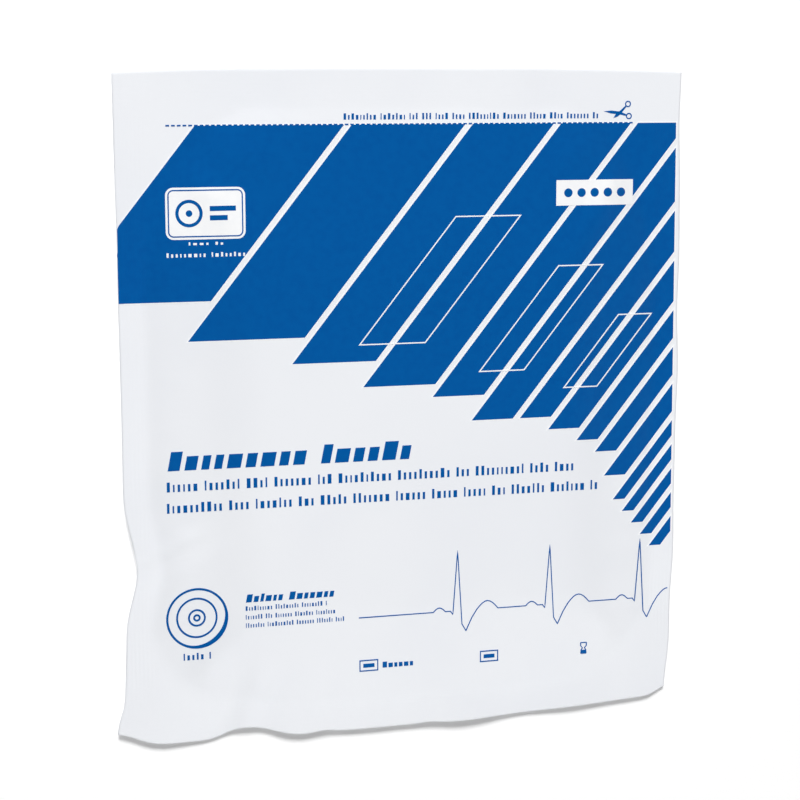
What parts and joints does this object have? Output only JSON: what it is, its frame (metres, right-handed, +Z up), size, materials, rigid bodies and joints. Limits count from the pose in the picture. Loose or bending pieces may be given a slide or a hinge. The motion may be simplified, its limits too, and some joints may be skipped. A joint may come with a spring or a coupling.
{
  "type": "sealed pouch of disposable electrodes",
  "caption": "Flat heat-sealed film pouch filled with disposable electrodes, lying on its back, with a printed face, wavy seals and dented edges.",
  "frame": {"origin": "middle of the bounding box at the surface the pouch lies on", "axes": "+Z up out of the printed face, +Y towards the head end where the pouch is cut open, +X to the right of the print"},
  "size_m": [0.2038, 0.2326, 0.015],
  "materials": {
    "film": "Satin white plastic film",
    "ink": "Satin blue printing ink on the front of the film, in plain stripes, bars and simple symbols"
  },
  "bodies": {
    "root": {"sealed_pouch": "film"}
  },
  "joints": []
}
